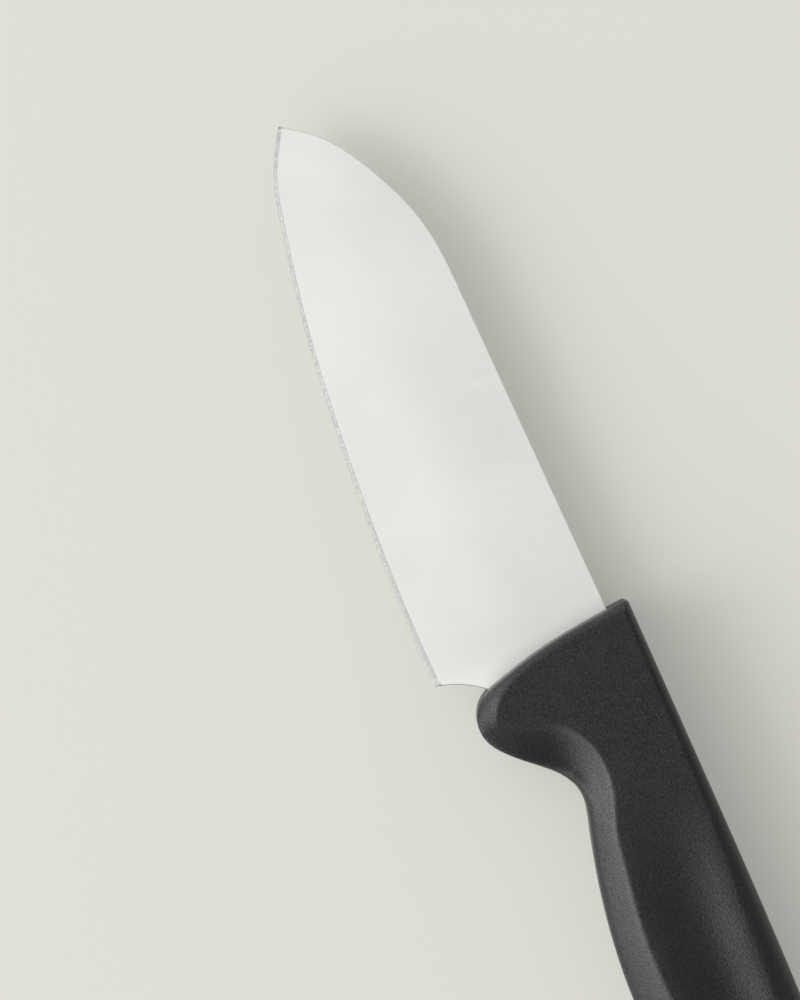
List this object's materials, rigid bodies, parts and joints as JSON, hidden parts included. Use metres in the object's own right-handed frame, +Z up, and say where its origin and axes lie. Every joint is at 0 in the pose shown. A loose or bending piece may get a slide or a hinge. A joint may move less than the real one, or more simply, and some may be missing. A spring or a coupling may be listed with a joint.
{
  "type": "paring knife",
  "caption": "Small kitchen knife with a deep dropped-point blade of satin steel and a black moulded handle with a finger guard.",
  "frame": {"origin": "under the middle of the whole knife, on the surface it lies on when it lies on its side", "axes": "+X from the handle to the point, +Y from the spine to the cutting edge, +Z up, square to the blade's side"},
  "size_m": [0.205, 0.0332, 0.015],
  "materials": {
    "steel": "fine satin ground steel with a brighter honed bevel",
    "black_plastic": "black moulded plastic with a fine matte grain"
  },
  "bodies": {
    "root": {"blade": "steel", "handle": "black_plastic"}
  },
  "joints": []
}
